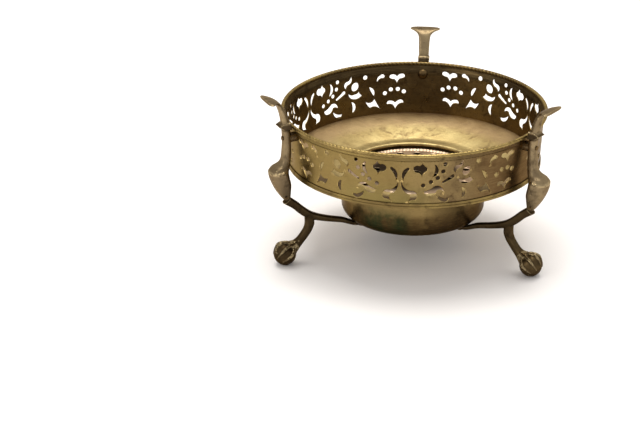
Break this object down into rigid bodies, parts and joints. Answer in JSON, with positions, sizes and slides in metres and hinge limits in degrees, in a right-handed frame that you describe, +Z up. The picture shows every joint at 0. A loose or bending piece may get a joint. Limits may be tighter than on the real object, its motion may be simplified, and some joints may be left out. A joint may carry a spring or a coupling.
{
  "type": "table brazier",
  "caption": "Round table brazier with a pierced gallery, dished floor, fire pot with lift-out grate, claw feet and fan-shaped plate rests.",
  "frame": {"origin": "on the axis of the bowl, at the height of the floor that the three feet stand on", "axes": "+Z up along the bowl's axis; +Y towards the back leg; +X to the right, seen from the front"},
  "size_m": [0.2376, 0.2378, 0.1443],
  "materials": {
    "gallery_brass": "aged, hand-cut, satin",
    "floor_brass": "aged, hammered, satin",
    "pot_brass": "aged, stained by heat",
    "cast_brass": "cast and filed, rubbed",
    "dark_brass": "cast, dark patina",
    "grate_brass": "stained by heat"
  },
  "bodies": {
    "brazier": {"pierced_gallery": "gallery_brass", "rope_rim_bead": "gallery_brass", "base_band": "gallery_brass", "dished_floor": "floor_brass", "fire_pot": "pot_brass", "grate_ledge_ring": "pot_brass", "plate_rest_back": "cast_brass", "plate_rest_left": "cast_brass", "plate_rest_right": "cast_brass", "claw_leg_back": "dark_brass", "claw_leg_left": "dark_brass", "claw_leg_right": "dark_brass", "gallery_rivet_back": "dark_brass", "gallery_rivet_left": "dark_brass", "gallery_rivet_right": "dark_brass", "knee_pin_back": "dark_brass", "knee_pin_left": "dark_brass", "knee_pin_right": "dark_brass", "strut_rivet_back": "dark_brass", "strut_rivet_left": "dark_brass", "strut_rivet_right": "dark_brass"},
    "grate": {"fire_grate": "grate_brass"}
  },
  "joints": [
    {"name": "grate_lift", "type": "slide", "parent": "brazier", "child": "grate", "axis": [0, 0, 1], "range_m": [0, 0.09]}
  ]
}
